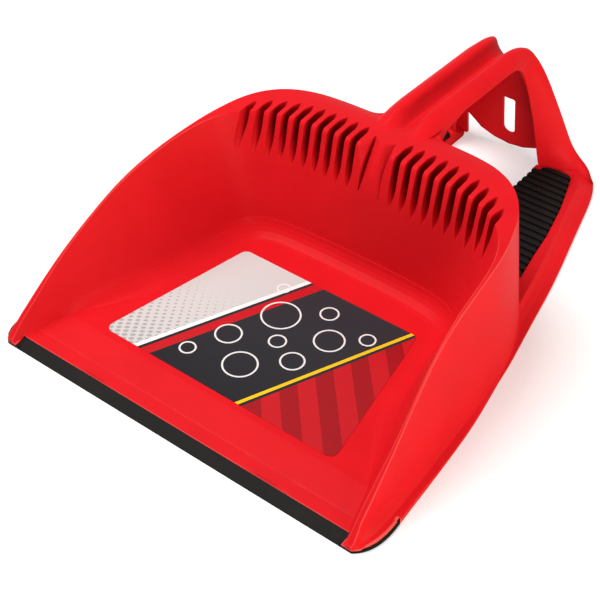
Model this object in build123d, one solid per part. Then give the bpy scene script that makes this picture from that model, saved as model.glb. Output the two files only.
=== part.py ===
from build123d import *
import math
import os

# Step-on dustpan, millimetres. While it is built the blade tip of the lip is y = 0 and the
# floor is z = 0; every piece is moved back by half the length just before it is written.

# Driving dimensions
LENGTH = 460.8
WALL = 2.2
DRAFT = 0.105
DECK_Z = 120.0
FLOOR_Z = 8.9
CORNER_R = 13.0
ROUNDING = [0.0, 0.04, 0.13, 0.29, 0.5, 0.74, 1.0]
FLANGE_H = 2.5
LIP_HALF = 159.0
LIP_DEPTH = 10.0
LIP_WRAP_Y = 39.0
LIP_WRAP_H = 2.9
STRIP_W = 3.2
STRIP_LOW = 2.2
BEAD_X = 170.1
BEAD_R = 1.9
COMB_FIRST = 20.3
COMB_PITCH = 10.35
COMB_COUNT = 10
COMB_GAP = 6.2
COMB_LOW_Z = 69.5
COMB_TIP_Y = 265.5
COMB_TOP_Z = 116.5
COMB_FADE = [1.0, 1.0, 1.0, 1.0, 1.0, 1.0, 1.0, 1.0, 1.0, 0.95]
LEDGE = 0.35
BROW_R = 5.0
BROW_Z = 107.5
LEG_INNER = 41.6
LEG_TOP = 12.5
PAD_INNER = 43.0
PAD_Z = 10.0
PAD_T = 2.3
PAD_RIB_H = 1.5
PAD_RIB_PITCH = 8.0
PAD_RIB_COUNT = 18
PAD_TOOTH = 1.6
PAD_GAP = 0.3
LABEL_T = 0.3
LABEL_FRONT = 107.7
LABEL_REAR = 83.2
LABEL_Y = 50.6
LABEL_L = 136.1
LABEL_R = 6.0
GRIP_T = 2.7
GRIP_STEP = 7.0
WEB_X = 23.3
WEB_Y = 285.0
WEB_R = 12.0
WEB_LOW = 92.0
WEB_TOP = 109.6
SLOT_W = 12.0
SLOT_LOW = 17.0
SLOT_HIGH = 56.0
SLOT_R = 2.0
SLOT_Y = 432.0

# Plan of the outer skirt at deck height: half width, distance from the blade, flare of its foot
SKIRT = [
    (148.5, 0.0, 0.0), (148.8, 10.0, 7.5), (149.0, 22.0, 10.5), (148.9, 44.0, 9.8), (147.8, 67.0, 9.0),
    (145.6, 96.0, 8.6), (143.0, 139.0, 6.6), (140.3, 178.0, 2.5), (137.2, 203.0, 0.5),
    (132.5, 222.5, 0.0), (126.2, 239.0, 0.0), (117.8, 252.5, 0.0), (107.2, 263.5, 0.0),
    (94.5, 272.0, 0.0), (79.0, 278.6, 0.0), (60.0, 282.6, 0.0), (30.0, 284.6, 0.0), (0.0, 284.8, 0.0),
]

# Rings of the skirt: height and the share of the flare that each of them has
SKIRT_RINGS = [(5.0, 0.5), (9.0, 0.2), (16.0, 0.0), (DECK_Z, 0.0)]

# Plan of the hopper at floor height, and how far each point moves out per millimetre of rise
HOPPER = [
    (164.0, -16.0, 0.37, 0.0), (156.5, 0.0, 0.37, 0.0), (148.5, 20.0, 0.37, 0.0),
    (140.8, 43.0, 0.37, 0.0), (134.5, 61.0, 0.37, 0.0), (124.0, 89.0, 0.37, 0.0),
    (115.8, 114.0, 0.37, 0.0), (107.8, 150.0, 0.37, 0.0), (103.5, 178.0, 0.37, 0.0),
    (100.0, 197.0, 0.34, 0.03), (93.0, 209.0, 0.29, 0.09), (82.0, 216.0, 0.20, 0.155),
    (65.0, 219.5, 0.07, 0.18), (40.0, 221.0, 0.02, 0.188), (0.0, 221.5, 0.0, 0.19),
]

# Height of the rim along the side, (y, z)
RIM = [
    (-6.0, 1.5), (0.0, 5.5), (9.0, 14.4), (20.0, 23.6), (33.0, 34.0), (61.0, 55.4), (89.0, 74.2),
    (114.0, 87.6), (150.0, 98.3), (180.0, 102.8), (210.0, 106.6), (235.0, 110.3), (250.0, 112.2),
    (262.0, 113.0), (274.0, 112.6), (285.0, 109.6),
]

# Floor of the pan from the lip back, (y, z)
FLOOR = [
    (-20.0, 1.2), (LIP_DEPTH, 4.4), (21.0, 5.4), (21.4, 5.75), (45.0, FLOOR_Z), (260.0, FLOOR_Z),
]

# Solid web behind the comb, (y, z)
COMB_WEB = [
    (205.0, 23.3), (237.5, 66.0), (262.0, 82.0), (272.0, 119.1), (272.0, 140.0), (205.0, 140.0),
]

# Half of the section across a comb gap: x as a share of the half width, height over its floor
COMB_GAP_V = [(0.12, 0.1), (0.5, 1.7), (0.82, 3.9), (1.0, 6.4), (1.0, 30.0)]

# Middle of the deck's front corner: rounded brow, and the foot of the two steep sides that it falls
# to on the left and right, both (y, z), and how much of each there is at each x
BROW = [(236.0, 86.0), (238.2, 93.0), (241.6, 100.0), (246.2, 106.3), (253.0, 113.4)]
BROW_SHARES = [(-16.4, 0.02), (-13.2, 0.5), (-9.9, 1.0), (9.9, 1.0), (13.2, 0.5), (16.4, 0.02)]
FOOT = [(235.0, 74.0), (239.4, 84.0), (244.4, 94.0), (250.4, 104.0), (257.0, 113.4)]
FOOT_SHARES = [
    (-9.7, 1.0), (-8.0, 0.76), (-5.5, 0.44), (-2.5, 0.14), (2.5, 0.14), (5.5, 0.44), (8.0, 0.76), (9.7, 1.0),
]

# Footprint of the right leg, outer side from front to rear, then round the heel
LEG_OUT = [
    (152.0, 191.0), (147.0, 220.0), (140.4, 251.0), (132.4, 290.0), (125.0, 322.0), (117.5, 351.0),
    (109.5, 381.0), (102.8, 407.0), (98.0, 424.0), (91.0, 442.0), (80.8, 455.0), (68.0, 460.5),
    (55.0, 459.0), (46.0, 452.0), (LEG_INNER, 442.0),
]

# Rings of the leg: height and how far each of them is set in
LEG_RINGS = [(0.0, 0.0), (FLANGE_H, 0.0), (5.0, 5.5), (8.5, 10.0), (LEG_TOP, 13.0)]

# Hollow under the right leg
LEG_CORE = [
    (LEG_INNER + WALL, 250.0), (LEG_INNER + WALL, 424.0), (62.0, 431.0), (74.0, 428.0), (80.0, 420.0),
    (98.0, 365.0), (118.0, 270.0),
]

# Footprint of the right pad
PAD = [
    (PAD_INNER, 300.5), (PAD_INNER, 419.0), (52.5, 427.5), (61.0, 432.5), (68.5, 431.5), (74.0, 427.0),
    (77.0, 418.0), (82.5, 402.0), (88.0, 385.0), (97.0, 348.0), (102.0, 318.0), (107.0, 292.0),
    (86.0, 297.5), (64.0, 300.3),
]

# Grip from the deck over the crown to the floor. Each row is one section: ridge x, y, z, lower edge
# x, y, z, height of the valley over the ridge in the section's plane, bulge of the face, and how
# sharp the ridge is. The valley of the bar runs on into the rear wall, its ridges into the arms.
GRIP = [
    (13.0, 254.0, 112.2, 23.4, 254.0, 111.4, -0.1, 0.1, 0.0),
    (13.0, 264.0, 112.8, 23.4, 264.0, 111.4, -0.6, 0.2, 0.0),
    (13.0, 274.0, 115.6, 23.4, 274.0, 111.4, -4.0, 0.8, 0.0),
    (13.0, 285.0, 119.7, 23.4, 285.0, 111.4, -8.6, 1.6, 0.0),
    (13.0, 298.0, 121.9, 23.4, 298.0, 111.4, -11.0, 2.0, 0.0),
    (13.0, 315.0, 122.3, 23.4, 315.0, 111.4, -11.5, 2.1, 0.0),
    (13.0, 360.0, 122.3, 23.4, 360.0, 111.4, -11.5, 2.1, 0.0),
    (13.0, 400.0, 122.3, 23.4, 400.0, 111.4, -11.5, 2.1, 0.0),
    (13.1, 410.0, 121.9, 23.3, 405.5, 110.2, -11.5, 2.1, 0.0),
    (13.5, 419.0, 120.7, 23.1, 411.5, 107.6, -11.5, 2.1, 0.05),
    (14.4, 427.5, 118.4, 22.9, 416.5, 104.0, -11.8, 2.1, 0.15),
    (15.9, 434.5, 115.0, 22.8, 420.0, 99.8, -12.0, 2.1, 0.3),
    (18.4, 439.8, 110.0, 23.2, 422.5, 95.2, -11.0, 2.1, 0.5),
    (22.3, 442.9, 103.6, 24.2, 424.0, 90.0, -9.5, 2.1, 0.7),
    (27.6, 444.2, 96.6, 25.9, 424.6, 84.5, -7.0, 2.1, 0.85),
    (35.0, 445.0, 85.0, 28.6, 425.0, 76.0, -4.0, 2.1, 1.0),
    (42.6, 445.5, 71.5, 31.8, 425.0, 66.0, -1.7, 2.1, 1.0),
    (51.0, 446.0, 56.0, 35.3, 425.0, 54.0, 0.2, 2.1, 1.0),
    (57.5, 446.2, 43.5, 38.2, 425.0, 42.5, 2.0, 2.0, 1.0),
    (64.6, 446.4, 31.5, 40.8, 425.2, 31.0, 3.8, 1.8, 1.0),
    (72.6, 446.5, 23.4, 42.4, 425.8, 22.5, 5.1, 1.5, 1.0),
    (79.2, 446.7, 17.8, 43.4, 427.0, 16.0, 6.0, 1.2, 1.0),
    (84.2, 446.7, 11.3, 43.8, 428.5, 10.0, 7.0, 0.9, 1.0),
    (87.0, 446.2, 6.0, 44.0, 429.5, 5.0, 8.4, 0.7, 1.0),
    (88.5, 445.4, 0.0, 44.0, 430.0, 0.0, 10.1, 0.6, 1.0),
]

# Gusset under the front of the bar, (y, z)
GUSSET = [
    (283.6, 112.0), (338.0, 112.0), (330.0, 110.4), (317.0, 107.4), (306.0, 104.4), (300.5, 99.5),
    (297.0, 92.0), (295.5, 83.0), (285.8, 83.0),
]
GUSSET_X = 21.6
GUSSET_HALF = 1.3

# Arched lower edge of the rear wall, (x, z)
HEM = [(42.2, 25.0), (41.0, 24.0), (28.0, 12.0), (14.0, 6.2), (0.0, 4.0)]
HEM_Y = 438.2


def mirrored(shape):
    return mirror(shape, Plane.YZ)


def both(shape):
    return shape + mirrored(shape)


def unit(x, y):
    length = math.hypot(x, y)
    return x / length, y / length


def outset(points, distance):
    """Move plan points along their own outward normals; a list is one distance per point."""
    moved = []
    last = len(points) - 1
    for i, (x, y) in enumerate(points):
        ax, ay = points[max(i - 1, 0)]
        bx, by = points[min(i + 1, last)]
        step = distance[i] if isinstance(distance, list) else distance
        nx, ny = unit(by - ay, ax - bx)
        moved.append((x + step * nx, y + step * ny))
    return moved


def mitred(points, distance):
    """Path moved to its right by a distance, each corner where the moved sides meet."""
    sides = [unit(bx - ax, by - ay) for (ax, ay), (bx, by) in zip(points, points[1:])]
    moved = []
    for i, (x, y) in enumerate(points):
        ax, ay = sides[max(i - 1, 0)]
        bx, by = sides[min(i, len(sides) - 1)]
        nx, ny = unit(ay + by, -ax - bx)
        reach = distance / max(nx * ay - ny * ax, 0.2)
        moved.append((x + reach * nx, y + reach * ny))
    return moved


def even_rows(rows, step):
    """Rows spaced evenly along the line of their first three numbers, on cubics through them all."""
    along = [0.0]
    for a, b in zip(rows, rows[1:]):
        along.append(along[-1] + math.dist(a[:3], b[:3]))
    last = len(rows) - 1
    slopes = []
    for i in range(last + 1):
        lo, hi = max(i - 1, 0), min(i + 1, last)
        slopes.append([(q - p) / (along[hi] - along[lo]) for p, q in zip(rows[lo], rows[hi])])
    count = round(along[-1] / step)
    result = []
    i = 0
    for n in range(count + 1):
        s = along[-1] * n / count
        while i < last - 1 and s > along[i + 1]:
            i += 1
        span = along[i + 1] - along[i]
        t = (s - along[i]) / span
        h0, h1 = (1 + 2 * t) * (1 - t) ** 2, t * t * (3 - 2 * t)
        g0, g1 = t * (1 - t) ** 2 * span, t * t * (t - 1) * span
        result.append([
            h0 * a + h1 * b + g0 * p + g1 * q
            for a, b, p, q in zip(rows[i], rows[i + 1], slopes[i], slopes[i + 1])])
    return result


def outline(points, z):
    """Closed plan outline at height z: one spline round the back and a straight front."""
    left = [(-x, y) for x, y in reversed(points[:-1])]
    curve = Spline(*[(x, y, z) for x, y in points + left])
    front = Line((-points[0][0], points[0][1], z), (points[0][0], points[0][1], z))
    return Wire([curve, front])


def side_prism(points, half_width, curved=0):
    """Solid across the pan from a (y, z) outline; the first curved points make one spline."""
    if curved:
        top = Spline(*[(-half_width, y, z) for y, z in points[:curved]])
        rest = Polyline(*[(-half_width, y, z) for y, z in points[curved - 1:] + points[:1]])
        face = Face(Wire([top] + rest.edges()))
    else:
        face = Face(Polyline(*[(-half_width, y, z) for y, z in points], close=True))
    return extrude(face, 2 * half_width, dir=(1, 0, 0))


def across(sections, ruled):
    """Solid through (y, z) outlines that stand at different x."""
    wires = [Polyline(*[(x, y, z) for y, z in points], close=True).wire() for x, points in sections]
    return Solid.make_loft(wires, ruled=ruled)


def groove_cut(low, high, section, half_width):
    """Straight groove in the y, z plane from its low end to its high end, open to the front and top."""
    uy, uz = unit(high[0] - low[0], high[1] - low[1])
    half = [(share * half_width, h) for share, h in section]
    points = [(-x, h) for x, h in reversed(half)] + half
    start_y, start_z = low[0] - 8.0 * uy, low[1] - 8.0 * uz
    face = Face(Polyline(*[(x, start_y - h * uz, start_z + h * uy) for x, h in points], close=True))
    cut = extrude(face, 8.0 + math.dist(low, high) + 30.0, dir=(0, uy, uz))
    return cut & Pos(0, start_y, low[1] + 49.0) * Box(40.0, 200.0, 100.0)


def skirt(inset, bottom):
    """Outer skirt of the pan, filled: drafted wall on a flared foot."""
    top = [(x, y) for x, y, _ in SKIRT]
    wires = []
    for z, share in [(bottom, 1.0), (FLANGE_H - 0.4 * inset, 1.0)] + SKIRT_RINGS:
        reach = [DRAFT * (110.0 - max(z, 0.0)) + share * flare - inset for _, _, flare in SKIRT]
        points = outset(top, reach)
        points[0] = (points[0][0], inset)
        points[-1] = (0.0, points[-1][1])
        wires.append(outline(points, z))
    return Solid.make_loft(wires, ruled=True)


def hopper(outward):
    """Space inside the pan above its floor, grown outward by a wall; the wall's foot is rounded."""
    wires = []
    base, radius = FLOOR_Z - outward, CORNER_R + outward
    foot = [base + radius * share for share in ROUNDING]
    brow = [BROW_Z + BROW_R * share for share in (0.0, 0.3, 0.55, 0.78, 0.92)]
    for z in [-4.0] + foot + [foot[-1] + LEDGE] + brow + [DECK_Z + 8.0]:
        rise = z - FLOOR_Z
        lean = BROW_R - math.sqrt(BROW_R ** 2 - min(max(z - BROW_Z, 0.0), 0.92 * BROW_R) ** 2)
        drop = radius - min(max(z - base, 0.0), radius)
        turn = radius - math.sqrt(radius ** 2 - drop ** 2)
        plan = [(x + rise * lx, y + rise * ly) for x, y, lx, ly in HOPPER]
        ledge = LEDGE if z > foot[-1] else 0.0
        reach = []
        for _, y, _, _ in HOPPER:
            round_off = turn * min(max((y - 45.0) / 60.0, 0.0), 1.0)
            reach.append(outward + lean - round_off + ledge * min(max((y - 190.0) / 20.0, 0.0), 1.0))
        points = outset(plan, reach)
        points[-1] = (0.0, points[-1][1])
        wires.append(outline(points, z))
    space = Solid.make_loft(wires, ruled=True)
    over = [(y, z - outward) for y, z in FLOOR] + [(260.0, DECK_Z + 8.0), (-20.0, DECK_Z + 8.0)]
    return space & side_prism(over, 230.0)


def wall_y(x, z):
    """Distance from the blade of the hopper's back wall at half width x and height z."""
    rise = z - FLOOR_Z
    plan = [(px + rise * lx, py + rise * ly) for px, py, lx, ly in HOPPER]
    for (ax, ay), (bx, by) in zip(plan, plan[1:]):
        if bx <= x <= ax:
            return ay + (by - ay) * (x - ax) / (bx - ax)
    return plan[-1][1]


def grip_wire(row):
    """Closed section of the grip in the plane through its ridge tops and its lower edges."""
    bx, by, bz, dx, dy, dz, rise, bulge, sharp = row
    depth = math.hypot(by - dy, bz - dz)
    uy, uz = (by - dy) / depth, (bz - dz) / depth
    chord = math.hypot(dx - bx, depth)
    cx, cs = (dx - bx) / chord, -depth / chord
    face = [(dx, -depth)]
    for share in (2 / 3, 1 / 3):
        reach = share * chord
        face.append((bx + reach * cx - bulge * cs, reach * cs + bulge * cx))
    near = (0.68 * bx, (0.28 + 0.22 * sharp) * rise)
    far = (0.33 * bx, (0.73 + 0.13 * sharp) * rise)
    half = face + [(bx, 0.0), near, far, (0.0, rise)]
    outer = half + [(-x, s) for x, s in reversed(half[:-1])]
    inner = mitred(outer[::-1], GRIP_T)

    def place(points):
        return [(x, by + s * uy, bz + s * uz) for x, s in points]

    def tangent(x, s):
        return (x, s * uy, s * uz)

    def ridge_tangent(a, b):
        x, s = unit(b[0] - a[0], b[1] - a[1])
        return (sharp * (x + 1.0) - 1.0, sharp * s)

    start = (half[1][0] - half[0][0], half[1][1] - half[0][1])
    rising = ridge_tangent(half[2], half[3])
    falling = ridge_tangent(half[3], half[4])
    o, n = place(outer), place(inner)
    right = Spline(*o[:4], tangents=[tangent(*start), tangent(*rising)])
    valley = Spline(*o[3:10], tangents=[tangent(*falling), tangent(falling[0], -falling[1])])
    left = Spline(*o[9:], tangents=[tangent(rising[0], -rising[1]), tangent(start[0], -start[1])])
    inside = [Spline(*n[:4]), Spline(*n[3:10]), Spline(*n[9:])]
    return Wire([right, valley, left, Line(o[-1], n[0])] + inside + [Line(n[-1], o[0])])


# Pan: skirt under the rim line, less the hopper and the hollow underneath
under_rim = side_prism(RIM + [(300.0, 60.0), (300.0, -2.0), (-6.0, -2.0)], 200.0, len(RIM))
low_rim = [(y, z - 3.0) for y, z in RIM]
under_low_rim = side_prism(low_rim + [(300.0, 60.0), (300.0, -4.0), (-6.0, -4.0)], 200.0, len(RIM))
shell = skirt(0.0, 0.0) & under_rim
comb_web = side_prism(COMB_WEB, 118.6)
lip_zone = Box(400.0, 2 * (LIP_DEPTH + WALL), 60.0)
hollow = (skirt(WALL, -1.0) & under_low_rim) - hopper(WALL) - comb_web - lip_zone
pan = shell - hopper(0.0) - hollow

# Legs: low platforms either side of the grip, hollow underneath, with a pocket for each pad
leg_wires = []
for z, inset in LEG_RINGS:
    ring = outset(LEG_OUT, -inset)
    ring[-1] = (LEG_INNER, LEG_OUT[-1][1] - inset)
    ring[-2] = (ring[-2][0], min(ring[-2][1], LEG_OUT[-2][1] - 0.6 * inset))
    curve = Spline(*[(x, y, z) for x, y in ring])
    rest = Polyline((LEG_INNER, ring[-1][1], z), (LEG_INNER, 262.0, z), (ring[0][0], ring[0][1], z))
    leg_wires.append(Wire([curve] + rest.edges()))
leg = Solid.make_loft(leg_wires, ruled=True)
leg_core = extrude(Face(Polyline(*LEG_CORE, close=True)), PAD_Z - WALL, dir=(0, 0, 1))
leg = leg - leg_core - skirt(1.3, -1.0)
pad_face = Face(Polyline(*PAD, close=True))
pad_pocket = offset(pad_face, PAD_TOOTH + PAD_GAP, kind=Kind.INTERSECTION)
leg = leg - Pos(0, 0, PAD_Z) * extrude(pad_pocket, 10.0, dir=(0, 0, 1))

# Grip: a bar with a channel for a broom handle, its crown, two arms and the rear wall between them
grip = Solid.make_loft([grip_wire(row) for row in even_rows(GRIP, GRIP_STEP)], ruled=False)
hem_full = HEM + [(-x, z) for x, z in reversed(HEM[:-1])] + [(-HEM[0][0], -5.0), (HEM[0][0], -5.0)]
hem = extrude(Face(Polyline(*[(x, HEM_Y, z) for x, z in hem_full], close=True)), 40.0, dir=(0, 1, 0))
slot_straight = SLOT_HIGH - SLOT_LOW - SLOT_W / 2
slot_face = Rectangle(SLOT_W, slot_straight)
slot_face = fillet(slot_face.vertices().group_by(Axis.Y)[-1], SLOT_R)
slot_face = Pos(0, SLOT_HIGH - slot_straight / 2) * slot_face
slot_face = slot_face + Pos(0, SLOT_LOW + SLOT_W / 2) * Circle(SLOT_W / 2)
slot = extrude(Plane.XZ.offset(-SLOT_Y) * slot_face, 40.0, dir=(0, 1, 0))
grip = grip - hem - slot
gusset = Pos(GUSSET_X, 0, 0) * side_prism(GUSSET, GUSSET_HALF)
web_arc = CenterArc((WEB_X + WEB_R, WEB_Y + WEB_R, WEB_LOW), WEB_R, 180, 90)
web_rest = Polyline(
    (WEB_X + WEB_R, WEB_Y, WEB_LOW), (WEB_X + WEB_R, WEB_Y - 4.0, WEB_LOW),
    (WEB_X - 2.0, WEB_Y - 4.0, WEB_LOW), (WEB_X - 2.0, WEB_Y + WEB_R, WEB_LOW),
    (WEB_X, WEB_Y + WEB_R, WEB_LOW))
web = extrude(Face(Wire([web_arc] + web_rest.edges())), WEB_TOP - WEB_LOW, dir=(0, 0, 1))
body = pan + both(leg) + grip + both(gusset + web)

# Comb: gaps with a narrow floor that run from the back wall out over the front corner of the deck
for i in range(COMB_COUNT):
    gap_x = COMB_FIRST + i * COMB_PITCH
    turn = (max(gap_x - 45.0, 0.0) / 58.0) ** 2
    wall_x = gap_x + COMB_GAP / 4
    corner_z = 113.0 - 4.0 * turn
    corner_y = wall_y(wall_x, corner_z)
    low_z = corner_z + COMB_FADE[i] * (COMB_LOW_Z - corner_z)
    tip_y = corner_y + COMB_FADE[i] * (COMB_TIP_Y - 14.0 * turn - corner_y)
    groove = groove_cut((wall_y(wall_x, low_z), low_z), (tip_y, COMB_TOP_Z), COMB_GAP_V, COMB_GAP / 2)
    body = body - Pos(gap_x, 0, 0) * groove - Pos(-gap_x, 0, 0) * groove

# Middle between the two groups of gaps: the brow first, then its two steep sides
brow_y, brow_z = wall_y(0.0, BROW[-1][1]) - 0.5, BROW[-1][1] + 0.5
brow_sections = []
for x, share in BROW_SHARES:
    curve = [(brow_y + share * (y - brow_y), brow_z + share * (z - brow_z)) for y, z in BROW]
    brow_sections.append((x, curve + [(curve[-1][0], 140.0), (212.0, 140.0), (212.0, curve[0][1])]))
side_sections = []
for x, share in FOOT_SHARES:
    curve = [(by + share * (fy - by), bz + share * (fz - bz)) for (by, bz), (fy, fz) in zip(BROW, FOOT)]
    side_sections.append((x, curve + [(curve[-1][0], 140.0), (212.0, 140.0), (212.0, curve[0][1])]))
body = body - across(brow_sections, True) - across(side_sections, True)

# Front lip: rubber blade along the floor's edge with a strip round each corner
blade = side_prism([(0.0, 0.0), (0.0, 0.9), (LIP_DEPTH, 4.4), (LIP_DEPTH, 0.0)], LIP_HALF - 7.0)
foot = outset([(x, y) for x, y, _ in SKIRT], [DRAFT * 110.0 + flare for _, _, flare in SKIRT])
foot[0] = (foot[0][0], 0.0)
strip_in = outset(foot, -STRIP_W)
strip_in[0] = (strip_in[0][0], STRIP_W)
around = Face(outline(foot, 0.0)) - Face(outline(strip_in, 0.0))
around = around & Pos(0, LIP_WRAP_Y / 2, 0) * Rectangle(400.0, LIP_WRAP_Y)
strip = extrude(around, LIP_WRAP_H, dir=(0, 0, 1)) - Box(2 * LIP_HALF - 20.0, 20.0, 20.0)
bead = Pos(BEAD_X - STRIP_W / 2, LIP_WRAP_Y, 0) * extrude(Circle(BEAD_R), LIP_WRAP_H + 0.3)
strip = strip - Pos(0, 0, 10.0 + STRIP_LOW) * Box(2 * LIP_HALF + 12.0, 20.0, 20.0)
lip = blade + strip + both(bead)
body = body - lip - Box(2 * LIP_HALF - 14.0, 2 * LIP_DEPTH, 12.0)

# Tread pads: ribbed rubber, the ribs standing proud of the outer edge
pad_wide = offset(pad_face, PAD_TOOTH, kind=Kind.INTERSECTION)
ribs = Sketch() + [
    Pos(PAD_INNER + 60.0, 292.0 + i * PAD_RIB_PITCH) * Rectangle(120.0, PAD_RIB_PITCH * 0.52)
    for i in range(PAD_RIB_COUNT)]
pad = extrude(pad_face, PAD_T, dir=(0, 0, 1)) + extrude(pad_wide & ribs, PAD_T + PAD_RIB_H, dir=(0, 0, 1))
pad = Pos(0, 0, PAD_Z) * pad

# Printed label on the floor
label_face = Face(Polyline(
    (-LABEL_FRONT, LABEL_Y), (LABEL_FRONT, LABEL_Y), (LABEL_REAR, LABEL_Y + LABEL_L),
    (-LABEL_REAR, LABEL_Y + LABEL_L), close=True))
label_face = fillet(label_face.vertices(), LABEL_R)
label = Pos(0, 0, FLOOR_Z) * extrude(label_face, LABEL_T, dir=(0, 0, 1))

parts = {
    "pan_body": body,
    "front_lip": lip,
    "right_tread_pad": pad,
    "left_tread_pad": mirrored(pad),
    "label": label,
}
os.makedirs("parts", exist_ok=True)
for name, shape in parts.items():
    moved = Pos(0, -LENGTH / 2, 0) * shape
    solids = moved.solids()
    box = moved.bounding_box()
    print(name, len(solids), [round(s.volume) for s in solids], box.min, box.max)
    export_step(moved, "parts/" + name + ".step")
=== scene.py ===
"""Looks of a step-on dustpan: finishes for its fixed solids, and a plain studio stage."""
import math

import bpy
from mathutils import Euler, Matrix, Vector


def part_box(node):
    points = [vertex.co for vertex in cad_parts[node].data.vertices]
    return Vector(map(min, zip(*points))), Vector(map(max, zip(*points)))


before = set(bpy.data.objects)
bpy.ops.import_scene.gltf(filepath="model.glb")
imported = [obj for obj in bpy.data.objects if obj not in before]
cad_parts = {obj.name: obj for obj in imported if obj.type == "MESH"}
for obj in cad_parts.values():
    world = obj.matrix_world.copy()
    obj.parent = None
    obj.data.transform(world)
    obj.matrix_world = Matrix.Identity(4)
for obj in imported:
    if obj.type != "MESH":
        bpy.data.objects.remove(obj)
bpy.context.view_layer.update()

bl_info = {
    "name": "Step-on dustpan",
    "version": (1, 0, 0),
    "blender": (4, 5, 0),
    "location": "3D View > Sidebar > Dustpan",
    "description": "Finishes a step-on dustpan and sets up a plain stage for it",
    "category": "Object",
}

MM = 0.001
PAN = "pan_body"
LIP = "front_lip"
PADS = ("left_tread_pad", "right_tread_pad")
LABEL = "label"
LABEL_LOW, LABEL_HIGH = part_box(LABEL)
LABEL_LENGTH = (LABEL_HIGH.y - LABEL_LOW.y) / MM

# Slow changes in each finish: their size in millimetres, the noise values between which they run, and
# what they do to the pigment, the roughness and the share of bloom
NOISE = (0.3, 0.7)
CLOUD = 45.0
CLOUD_SHADES = (0.95, 1.04)
CLOUD_GLOSS = (-0.03, 0.04)
BLOOM = 18.0
BLOOM_NOISE = (0.45, 0.75)
BLOOM_SHARE = 0.6
FILM_WAVE = 30.0

# Grooves and edges of the red moulding: how open the surface is there, from 0 to 1, and the painted
# shade or the share of painted highlight that it gets. The reach is in edge radii.
GROOVE_OPEN = (0.2, 0.6)
GROOVE_SHADE = 0.25
EDGE_OPEN = (0.95, 0.55)
HIGHLIGHT_SHARE = 0.5
EDGE_REACH = 1.6

# Zones of the red moulding, millimetres: each fades in from its first number to its second
# The comb zone takes the painted shade in its grooves.
COMB_Z = (50.0, 60.0)
COMB_Y = (42.0, 32.0)
# The rim and front zones take the painted highlight along edges.
RIM_X = (124.0, 132.0)
RIM_Z = (14.0, 20.0)
FRONT_Y = (-140.0, -160.0)

# Where the right arm runs into its heel, and the distances from there between which its blend fades
# out, millimetres
HEEL = (80.0, 208.0, 12.0)
HEEL_FADE = (14.0, 28.0)

# Print of the sticker, millimetres. The fields and stripes are placed by their lean, which is x less the
# slant times the distance from the front edge. A stripe is its start and its width.
PALE_END = -78.0
WHITE_STRIPE = (-78.0, 4.0)
RED_STRIPE = (-71.0, 9.0)
YELLOW_STRIPE = (20.0, 3.2)
RED_START = 26.0
DOT_CELL = 5.0
DOT_RADIUS = 1.9
DOT_END = 0.75 * LABEL_LENGTH
BAND_HALF = 9.0
BAND_LEAN = 0.9
CHARCOAL_TONES = (0.7, 1.6)
# Rings: x and y of the centre from the middle of the front edge, and the radius
RING_HALF = 0.7
RINGS = (
    (-2.0, 32.0, 13.0), (26.0, 58.0, 9.0), (4.0, 68.0, 6.5), (34.0, 92.0, 11.5), (56.0, 110.0, 6.0),
    (-30.0, 52.0, 10.0), (-12.0, 92.0, 15.0), (-44.0, 22.0, 6.0), (16.0, 116.0, 7.0), (-30.0, 118.0, 5.0),
)

# Lamps: name, place, width and height in metres, watts and colour. All of them face the aim.
LAMPS = (
    ("overhead", (-0.58, -0.26, 1.5), 1.0, 1.0, 27.0, "#FFFFFF"),
    ("front_right", (1.35, -0.8, 0.3), 0.9, 0.35, 13.0, "#FFF4E6"),
    ("low_right", (1.6, 0.3, 0.3), 0.9, 0.35, 9.0, "#FFE2BE"),
)
AIM = Vector((0.0, 0.0, 0.04))
WHITE = (1.0, 1.0, 1.0, 1.0)
SENSOR = 36.0
# Distances from the middle between which the floor turns plain white, metres
FLOOR_FADE = (0.45, 0.9)


def linear(code):
    """Linear red, green, blue and alpha of an sRGB hex colour."""
    values = [int(code[i:i + 2], 16) / 255 for i in (1, 3, 5)]
    return (*(v / 12.92 if v <= 0.04045 else ((v + 0.055) / 1.055) ** 2.4 for v in values), 1.0)


def add(tree, kind, inputs=None, **settings):
    """Add one node: settings are its own values, inputs the values, sockets or nodes for its sockets."""
    node = tree.nodes.new(kind)
    for name, value in settings.items():
        setattr(node, name, value)
    for socket, value in (inputs or {}).items():
        if isinstance(value, bpy.types.Node):
            value = value.outputs[0]
        if isinstance(value, bpy.types.NodeSocket):
            tree.links.new(value, node.inputs[socket])
        else:
            node.inputs[socket].default_value = value
    return node


def fade(tree, value, ends, start=0.0, stop=1.0):
    """Run from start to stop while the value runs between its two ends, and hold beyond them."""
    return add(tree, "ShaderNodeMapRange", {
        "Value": value, "From Min": ends[0], "From Max": ends[1], "To Min": start, "To Max": stop})


def mix(tree, share, base, over):
    """Colour that is base where the share is 0 and over where it is 1."""
    first, second, result = 6, 7, 2
    node = add(tree, "ShaderNodeMix", {"Factor": share, first: base, second: over}, data_type="RGBA")
    return node.outputs[result]


def new_material(name):
    """Empty node material, as (material, tree)."""
    material = bpy.data.materials.new(name)
    material.use_nodes = True
    material.node_tree.nodes.clear()
    return material, material.node_tree


def finish_node(name, material):
    """Put one material on a fixed solid."""
    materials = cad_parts[name].data.materials
    materials.clear()
    materials.append(material)


def object_mm(tree):
    """Object coordinates in millimetres."""
    place = add(tree, "ShaderNodeTexCoord")
    return add(tree, "ShaderNodeVectorMath", {0: place.outputs["Object"], "Scale": 1 / MM}, operation="SCALE")


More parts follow.
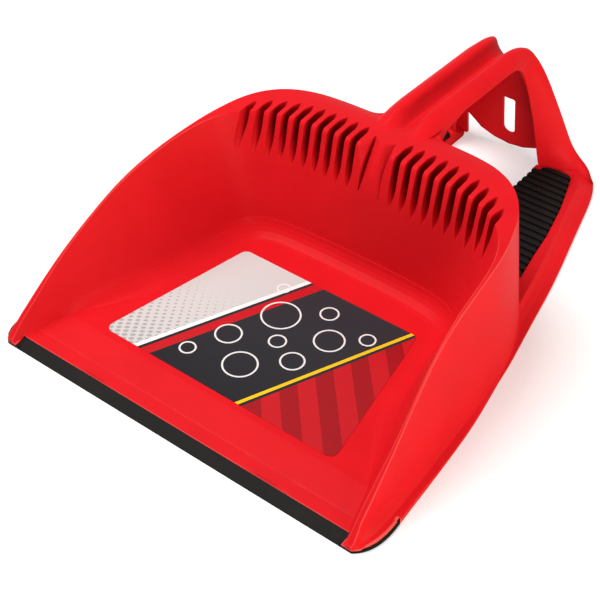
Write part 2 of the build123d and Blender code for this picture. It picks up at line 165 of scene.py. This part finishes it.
class DustpanMoulding(bpy.types.PropertyGroup):
    """Finish of the red moulding."""
    colour: bpy.props.FloatVectorProperty(
        name="Colour", description="Pigment of the moulding", subtype="COLOR", size=4, min=0, max=1,
        default=linear("#DA1A22"))
    # Painted highlight: the pale colour laid along the rim and front edges.
    painted_highlight: bpy.props.FloatVectorProperty(
        name="Rubbed edge", description="Paler pigment where an edge has been rubbed", subtype="COLOR",
        size=4, min=0, max=1, default=linear("#FF7A70"))
    roughness: bpy.props.FloatProperty(
        name="Roughness", description="Roughness of the polished mould", default=0.36, min=0, max=1,
        subtype="FACTOR")
    peel: bpy.props.FloatProperty(
        name="Peel spacing", description="Distance between the soft waves of the surface, in millimetres",
        default=3.5, min=0.5, max=20)
    edge: bpy.props.FloatProperty(
        name="Edge radius", description="Radius that the light sees along moulded edges", default=0.0007,
        min=0.0001, max=0.003, unit="LENGTH")
    heel: bpy.props.FloatProperty(
        name="Heel blend", description="Radius that the light sees where an arm runs into its heel",
        default=0.008, min=0.0001, max=0.02, unit="LENGTH")
    groove: bpy.props.FloatProperty(
        name="Groove", description="Reach of the shade that gathers in narrow grooves", default=0.014,
        min=0.001, max=0.1, unit="LENGTH")


class DustpanRubber(bpy.types.PropertyGroup):
    """Finish of the lip and the treads."""
    colour: bpy.props.FloatVectorProperty(
        name="Colour", description="Colour of the rubber", subtype="COLOR", size=4, min=0, max=1,
        default=linear("#0F0C0B"))
    dust: bpy.props.FloatVectorProperty(
        name="Bloom", description="Colour of the dusty bloom on the rubber", subtype="COLOR", size=4,
        min=0, max=1, default=linear("#191412"))
    roughness: bpy.props.FloatProperty(
        name="Roughness", description="Roughness of the rubber", default=0.62, min=0, max=1,
        subtype="FACTOR")
    edge: bpy.props.FloatProperty(
        name="Edge radius", description="Radius that the light sees along the rubber's edges", default=0.0004,
        min=0.0001, max=0.003, unit="LENGTH")
    grain: bpy.props.FloatProperty(
        name="Grain", description="Size of the rubber's grain, in millimetres", default=0.9,
        min=0.1, max=10)


class DustpanSticker(bpy.types.PropertyGroup):
    """Print of the sticker on the pan's floor."""
    charcoal: bpy.props.FloatVectorProperty(
        name="Charcoal", description="Middle field of the print", subtype="COLOR", size=4, min=0, max=1,
        default=linear("#26262A"))
    grey: bpy.props.FloatVectorProperty(
        name="Grey", description="Pale field of the print", subtype="COLOR", size=4, min=0, max=1,
        default=linear("#CFCFCD"))
    dots: bpy.props.FloatVectorProperty(
        name="Dots", description="Dots on the pale field", subtype="COLOR", size=4, min=0, max=1,
        default=linear("#A9A9A8"))
    red: bpy.props.FloatVectorProperty(
        name="Red", description="Red field and stripe of the print", subtype="COLOR", size=4, min=0, max=1,
        default=linear("#C21A22"))
    bands: bpy.props.FloatVectorProperty(
        name="Bands", description="Darker bands across the red field", subtype="COLOR", size=4, min=0, max=1,
        default=linear("#9E131B"))
    yellow: bpy.props.FloatVectorProperty(
        name="Yellow", description="Narrow stripe of the print", subtype="COLOR", size=4, min=0, max=1,
        default=linear("#F2C81E"))
    white: bpy.props.FloatVectorProperty(
        name="White", description="White stripe of the print", subtype="COLOR", size=4, min=0, max=1,
        default=linear("#F4F4F2"))
    rings: bpy.props.FloatVectorProperty(
        name="Rings", description="Rings on the print", subtype="COLOR", size=4, min=0, max=1,
        default=linear("#E9E9E7"))
    slant: bpy.props.FloatProperty(
        name="Slant", description="How far the fields lean to the right per millimetre of length",
        default=0.42, min=-2, max=2)


class DustpanStage(bpy.types.PropertyGroup):
    """Camera, ambient light and floor."""
    camera: bpy.props.FloatVectorProperty(
        name="Camera", description="Place of the camera", size=3, subtype="TRANSLATION", unit="LENGTH",
        default=(0.4652, -0.6695, 0.6799))
    azimuth: bpy.props.FloatProperty(
        name="Azimuth", description="Camera's angle round the pan", default=math.radians(38.26),
        subtype="ANGLE")
    elevation: bpy.props.FloatProperty(
        name="Elevation", description="Camera's angle above the floor", default=math.radians(41.06),
        subtype="ANGLE")
    roll: bpy.props.FloatProperty(
        name="Roll", description="Camera's turn about its own line of sight", default=math.radians(-0.13),
        subtype="ANGLE")
    lens: bpy.props.FloatProperty(
        name="Lens", description="Focal length on a 36 mm sensor, in millimetres", default=79.8,
        min=10, max=300)
    ambient: bpy.props.FloatProperty(
        name="Ambient", description="Strength of the even light from all round", default=0.22, min=0, max=5)
    floor: bpy.props.FloatProperty(
        name="Floor", description="Half the side of the floor", default=4.0, min=0.5, max=50, unit="LENGTH")
    lift: bpy.props.FloatProperty(
        name="Floor lift", description="Light that the camera sees on the floor even in shadow", default=0.42,
        min=0, max=1)


def comb_zone(tree, place):
    """1 on the upper back wall and the deck, where the comb is, and 0 elsewhere."""
    axes = add(tree, "ShaderNodeSeparateXYZ", {0: place})
    high = fade(tree, axes.outputs["Z"], COMB_Z)
    ahead = fade(tree, axes.outputs["Y"], COMB_Y)
    return add(tree, "ShaderNodeMath", {0: high, 1: ahead}, operation="MULTIPLY")


def highlight_zone(tree, place):
    """1 on the raised rim and along the pan's front, where its edges get a painted highlight, 0 elsewhere."""
    axes = add(tree, "ShaderNodeSeparateXYZ", {0: place})
    out = add(tree, "ShaderNodeMath", {0: axes.outputs["X"]}, operation="ABSOLUTE")
    side = fade(tree, out, RIM_X)
    raised = fade(tree, axes.outputs["Z"], RIM_Z)
    rim = add(tree, "ShaderNodeMath", {0: side, 1: raised}, operation="MULTIPLY")
    front = fade(tree, axes.outputs["Y"], FRONT_Y)
    return add(tree, "ShaderNodeMath", {0: rim, 1: front}, operation="MAXIMUM")


def moulded_pigment(tree, s, place, cloud):
    """Colour of the moulding: cloudy pigment, painted shade deep in the comb, painted highlight on edges."""
    shade = fade(tree, cloud, NOISE, *CLOUD_SHADES)
    pigment = add(tree, "ShaderNodeVectorMath", {0: s.colour[:3], "Scale": shade}, operation="SCALE")
    # Painted shade: the comb's narrow grooves are darkened where little of the surroundings is open.
    groove = add(tree, "ShaderNodeAmbientOcclusion", {"Distance": s.groove}, samples=8, only_local=True)
    deep = fade(tree, groove.outputs["AO"], GROOVE_OPEN, GROOVE_SHADE, 1.0)
    first, second = 2, 3
    shaded = add(tree, "ShaderNodeMix", {
        first: 1.0, second: deep, "Factor": comb_zone(tree, place)}, data_type="FLOAT")
    pigment = add(tree, "ShaderNodeVectorMath", {0: pigment, "Scale": shaded}, operation="SCALE")
    # Painted highlight: paler colour along convex edges on the rim and the front.
    inside = add(tree, "ShaderNodeAmbientOcclusion", {
        "Distance": EDGE_REACH * s.edge}, samples=8, inside=True, only_local=True)
    edge = fade(tree, inside.outputs["AO"], EDGE_OPEN, 0.0, HIGHLIGHT_SHARE)
    painted_highlight = add(tree, "ShaderNodeMath", {0: edge, 1: highlight_zone(tree, place)}, operation="MULTIPLY")
    return mix(tree, painted_highlight, pigment, s.painted_highlight)


def moulded_polypropylene(s):
    """Injection-moulded polypropylene from a polished mould: deep pigment, a soft gloss and faint waves."""
    material, tree = new_material("moulded_polypropylene_red")
    place = object_mm(tree)
    noise = add(tree, "ShaderNodeTexNoise", {"Vector": place, "Scale": 1 / CLOUD, "Detail": 2.0})
    cloud = noise.outputs["Fac"]
    colour = moulded_pigment(tree, s, place, cloud)
    # The arms run into the heels with a wide blend, every other edge is small
    folded = add(tree, "ShaderNodeVectorMath", {0: place}, operation="ABSOLUTE")
    away = add(tree, "ShaderNodeVectorMath", {0: folded, 1: HEEL}, operation="DISTANCE")
    radius = fade(tree, away.outputs["Value"], HEEL_FADE, s.heel, s.edge)
    soft = add(tree, "ShaderNodeBevel", {"Radius": radius}, samples=8)
    fine = add(tree, "ShaderNodeTexNoise", {"Vector": place, "Scale": 1 / s.peel, "Detail": 1.0})
    wave = add(tree, "ShaderNodeBump", {
        "Height": fine.outputs["Fac"], "Strength": 0.12, "Distance": 0.04 * MM, "Normal": soft})
    gloss = fade(tree, cloud, NOISE, s.roughness + CLOUD_GLOSS[0], s.roughness + CLOUD_GLOSS[1])
    shader = add(tree, "ShaderNodeBsdfPrincipled", {
        "Base Color": colour, "Roughness": gloss, "IOR": 1.49, "Specular IOR Level": 0.04, "Normal": wave})
    add(tree, "ShaderNodeOutputMaterial", {"Surface": shader})
    return material


def moulded_rubber(s):
    """Moulded thermoplastic rubber: near black, a dull sheen and a fine grain with a little dusty bloom."""
    material, tree = new_material("moulded_rubber_black")
    place = object_mm(tree)
    bloom = add(tree, "ShaderNodeTexNoise", {"Vector": place, "Scale": 1 / BLOOM, "Detail": 3.0})
    share = fade(tree, bloom.outputs["Fac"], BLOOM_NOISE, 0.0, BLOOM_SHARE)
    colour = mix(tree, share, s.colour, s.dust)
    grain = add(tree, "ShaderNodeTexNoise", {"Vector": place, "Scale": 1 / s.grain, "Detail": 2.0})
    soft = add(tree, "ShaderNodeBevel", {"Radius": s.edge}, samples=4)
    bump = add(tree, "ShaderNodeBump", {
        "Height": grain.outputs["Fac"], "Strength": 0.25, "Distance": 0.1 * MM, "Normal": soft})
    shader = add(tree, "ShaderNodeBsdfPrincipled", {
        "Base Color": colour, "Roughness": s.roughness, "IOR": 1.52, "Specular IOR Level": 0.1,
        "Normal": bump})
    add(tree, "ShaderNodeOutputMaterial", {"Surface": shader})
    return material


def printed_film(s):
    """Printed film under a clear laminate: slanted fields and stripes, dots, bands and rings."""
    material, tree = new_material("printed_film_laminated")
    place = object_mm(tree)
    axes = add(tree, "ShaderNodeSeparateXYZ", {0: place})
    x = axes.outputs["X"]
    y = add(tree, "ShaderNodeMath", {0: axes.outputs["Y"], 1: LABEL_LOW.y / MM}, operation="SUBTRACT")
    film = add(tree, "ShaderNodeTexNoise", {"Vector": place, "Scale": 1 / FILM_WAVE})
    bump = add(tree, "ShaderNodeBump", {"Height": film.outputs["Fac"], "Strength": 0.2, "Distance": 0.3 * MM})
    shader = add(tree, "ShaderNodeBsdfPrincipled", {
        "Base Color": print_layers(tree, s, x, y), "Roughness": 0.32, "IOR": 1.49, "Specular IOR Level": 0.12,
        "Normal": bump})
    add(tree, "ShaderNodeOutputMaterial", {"Surface": shader})
    return material


def print_layers(tree, s, x, y):
    """Colours of the print: each layer covers the ones before it where its mask is 1. Millimetres."""
    lean = add(tree, "ShaderNodeMath", {0: y, 1: -s.slant, 2: x}, operation="MULTIPLY_ADD")
    tone = fade(tree, y, (0.0, LABEL_LENGTH), *CHARCOAL_TONES)
    layer = add(tree, "ShaderNodeVectorMath", {0: s.charcoal[:3], "Scale": tone}, operation="SCALE")
    pale = add(tree, "ShaderNodeMath", {0: lean, 1: PALE_END}, operation="LESS_THAN")
    layer = mix(tree, pale, layer, mix(tree, dot_mask(tree, lean, y), s.grey, s.dots))
    right = add(tree, "ShaderNodeMath", {0: lean, 1: RED_START}, operation="GREATER_THAN")
    layer = mix(tree, right, layer, mix(tree, band_mask(tree, x, y), s.red, s.bands))
    for (start, width), ink in ((WHITE_STRIPE, s.white), (RED_STRIPE, s.red), (YELLOW_STRIPE, s.yellow)):
        half = width / 2
        stripe = add(tree, "ShaderNodeMath", {0: lean, 1: start + half, 2: half}, operation="COMPARE")
        layer = mix(tree, stripe, layer, ink)
    point = add(tree, "ShaderNodeCombineXYZ", {0: x, 1: y})
    for centre_x, centre_y, radius in RINGS:
        centre = (centre_x, centre_y, 0.0)
        away = add(tree, "ShaderNodeVectorMath", {0: point, 1: centre}, operation="DISTANCE")
        ring = add(tree, "ShaderNodeMath", {
            0: away.outputs["Value"], 1: radius, 2: RING_HALF}, operation="COMPARE")
        layer = mix(tree, ring, layer, s.rings)
    return layer


def dot_mask(tree, lean, y):
    """Dots on a grid turned by 45 degrees, largest along the front edge of the sticker."""
    cell = (DOT_CELL, DOT_CELL, DOT_CELL)
    grid = add(tree, "ShaderNodeCombineXYZ", {0: lean, 1: y})
    turned = add(tree, "ShaderNodeVectorRotate", {0: grid, "Angle": math.radians(45)}, rotation_type="Z_AXIS")
    rest = add(tree, "ShaderNodeVectorMath", {0: turned, 1: cell}, operation="MODULO")
    positive = add(tree, "ShaderNodeVectorMath", {0: rest, 1: cell}, operation="ADD")
    inside = add(tree, "ShaderNodeVectorMath", {0: positive, 1: cell}, operation="MODULO")
    middle = (DOT_CELL / 2, DOT_CELL / 2, 0.0)
    away = add(tree, "ShaderNodeVectorMath", {0: inside, 1: middle}, operation="DISTANCE")
    size = fade(tree, y, (0.0, DOT_END), DOT_RADIUS, 0.0)
    return add(tree, "ShaderNodeMath", {0: away.outputs["Value"], 1: size}, operation="LESS_THAN")


def band_mask(tree, x, y):
    """Broad bands across the red field, as wide as the spaces between them."""
    along = add(tree, "ShaderNodeMath", {0: y, 1: BAND_LEAN, 2: x}, operation="MULTIPLY_ADD")
    swing = add(tree, "ShaderNodeMath", {0: along, 1: 2 * BAND_HALF}, operation="PINGPONG")
    return add(tree, "ShaderNodeMath", {0: swing, 1: BAND_HALF}, operation="LESS_THAN")


def studio_floor(s):
    """Matt white studio floor: darker in the pan's own shadow, plain white to the camera further away."""
    material, tree = new_material("matt_studio_floor")
    ray = add(tree, "ShaderNodeLightPath")
    matt = add(tree, "ShaderNodeBsdfDiffuse", {"Color": linear("#D8D8D8")})
    lift = add(tree, "ShaderNodeEmission", {"Color": WHITE, "Strength": s.lift})
    near = add(tree, "ShaderNodeAddShader", {0: matt, 1: lift})
    white = add(tree, "ShaderNodeEmission", {"Color": WHITE, "Strength": 1.0})
    place = add(tree, "ShaderNodeTexCoord")
    away = add(tree, "ShaderNodeVectorMath", {0: place.outputs["Object"]}, operation="LENGTH")
    far = fade(tree, away.outputs["Value"], FLOOR_FADE)
    seen = add(tree, "ShaderNodeMixShader", {0: far, 1: near, 2: white})
    shader = add(tree, "ShaderNodeMixShader", {0: ray.outputs["Is Camera Ray"], 1: matt, 2: seen})
    add(tree, "ShaderNodeOutputMaterial", {"Surface": shader})
    return material


def set_camera(scene, s):
    """Camera at its place, turned by its three angles."""
    camera = bpy.data.objects.new("camera", bpy.data.cameras.new("camera"))
    scene.collection.objects.link(camera)
    camera.data.sensor_width = SENSOR
    camera.data.lens = s.lens
    camera.data.clip_start = 0.01
    camera.data.clip_end = 50.0
    tilt = Euler((math.pi / 2 - s.elevation, 0.0, s.azimuth)).to_matrix()
    turn = tilt @ Matrix.Rotation(s.roll, 3, "Z")
    camera.matrix_world = Matrix.Translation(Vector(s.camera)) @ turn.to_4x4()
    scene.camera = camera


def hang_lamps(scene):
    """Soft rectangular lamps that face the pan."""
    for name, spot, wide, high, power, tint in LAMPS:
        lamp = bpy.data.lights.new(name, "AREA")
        lamp.shape = "RECTANGLE"
        lamp.size = wide
        lamp.size_y = high
        lamp.energy = power
        lamp.color = linear(tint)[:3]
        holder = bpy.data.objects.new(name, lamp)
        scene.collection.objects.link(holder)
        holder.location = spot
        holder.rotation_euler = (AIM - Vector(spot)).to_track_quat("-Z", "Y").to_euler()


def fill_world(scene, s):
    """Even light from all round, and plain white where the camera or a reflection sees past the floor."""
    world = bpy.data.worlds.new("studio")
    scene.world = world
    world.use_nodes = True
    tree = world.node_tree
    tree.nodes.clear()
    ray = add(tree, "ShaderNodeLightPath")
    seen = add(tree, "ShaderNodeMath", {
        0: ray.outputs["Is Camera Ray"], 1: ray.outputs["Is Glossy Ray"]}, operation="MAXIMUM")
    seen = add(tree, "ShaderNodeMath", {0: seen, 1: ray.outputs["Is Transmission Ray"]}, operation="MAXIMUM")
    even = add(tree, "ShaderNodeBackground", {"Color": WHITE, "Strength": s.ambient})
    white = add(tree, "ShaderNodeBackground", {"Color": WHITE, "Strength": 1.0})
    mixed = add(tree, "ShaderNodeMixShader", {0: seen, 1: even, 2: white})
    add(tree, "ShaderNodeOutputWorld", {"Surface": mixed})


def lay_floor(scene, s):
    """Square floor under the pan."""
    half = s.floor
    corners = [(-half, -half, 0), (half, -half, 0), (half, half, 0), (-half, half, 0)]
    mesh = bpy.data.meshes.new("floor")
    mesh.from_pydata(corners, [], [(0, 1, 2, 3)])
    floor = bpy.data.objects.new("floor", mesh)
    scene.collection.objects.link(floor)
    mesh.materials.append(studio_floor(s))


class DUSTPAN_OT_moulding(bpy.types.Operator):
    """Give the red moulding its finish"""
    bl_idname = "dustpan.moulding"
    bl_label = "Red moulding"

    def execute(self, context):
        finish_node(PAN, moulded_polypropylene(context.scene.dustpan_moulding))
        return {"FINISHED"}


class DUSTPAN_OT_rubber(bpy.types.Operator):
    """Give the front lip and both treads their rubber"""
    bl_idname = "dustpan.rubber"
    bl_label = "Lip and treads"

    def execute(self, context):
        rubber = moulded_rubber(context.scene.dustpan_rubber)
        for name in (LIP, *PADS):
            finish_node(name, rubber)
        return {"FINISHED"}


class DUSTPAN_OT_sticker(bpy.types.Operator):
    """Print the sticker on the pan's floor"""
    bl_idname = "dustpan.sticker"
    bl_label = "Sticker"

    def execute(self, context):
        finish_node(LABEL, printed_film(context.scene.dustpan_sticker))
        return {"FINISHED"}


class DUSTPAN_OT_stage(bpy.types.Operator):
    """Set up the camera, the lamps, the world and the floor"""
    bl_idname = "dustpan.stage"
    bl_label = "Stage"

    def execute(self, context):
        scene = context.scene
        s = scene.dustpan_stage
        set_camera(scene, s)
        hang_lamps(scene)
        fill_world(scene, s)
        lay_floor(scene, s)
        scene.view_settings.view_transform = "Standard"
        return {"FINISHED"}


class DUSTPAN_PT_panel(bpy.types.Panel):
    """Steps and values of the dustpan's looks"""
    bl_idname = "DUSTPAN_PT_panel"
    bl_label = "Step-on dustpan"
    bl_space_type = "VIEW_3D"
    bl_region_type = "UI"
    bl_category = "Dustpan"

    def draw(self, context):
        for group, operator in PANEL_ROWS:
            box = self.layout.box()
            values = getattr(context.scene, group)
            for name in values.__annotations__:
                box.prop(values, name)
            box.operator(operator)


PANEL_ROWS = (
    ("dustpan_moulding", "dustpan.moulding"),
    ("dustpan_rubber", "dustpan.rubber"),
    ("dustpan_sticker", "dustpan.sticker"),
    ("dustpan_stage", "dustpan.stage"),
)
GROUPS = {
    "dustpan_moulding": DustpanMoulding,
    "dustpan_rubber": DustpanRubber,
    "dustpan_sticker": DustpanSticker,
    "dustpan_stage": DustpanStage,
}
CLASSES = (
    *GROUPS.values(), DUSTPAN_OT_moulding, DUSTPAN_OT_rubber, DUSTPAN_OT_sticker, DUSTPAN_OT_stage,
    DUSTPAN_PT_panel,
)


def register():
    for cls in CLASSES:
        bpy.utils.register_class(cls)
    for name, group in GROUPS.items():
        setattr(bpy.types.Scene, name, bpy.props.PointerProperty(type=group))


def unregister():
    for name in GROUPS:
        delattr(bpy.types.Scene, name)
    for cls in reversed(CLASSES):
        bpy.utils.unregister_class(cls)


def main():
    register()
    bpy.ops.dustpan.stage()
    bpy.ops.dustpan.moulding()
    bpy.ops.dustpan.rubber()
    bpy.ops.dustpan.sticker()


if __name__ == "__main__":
    main()
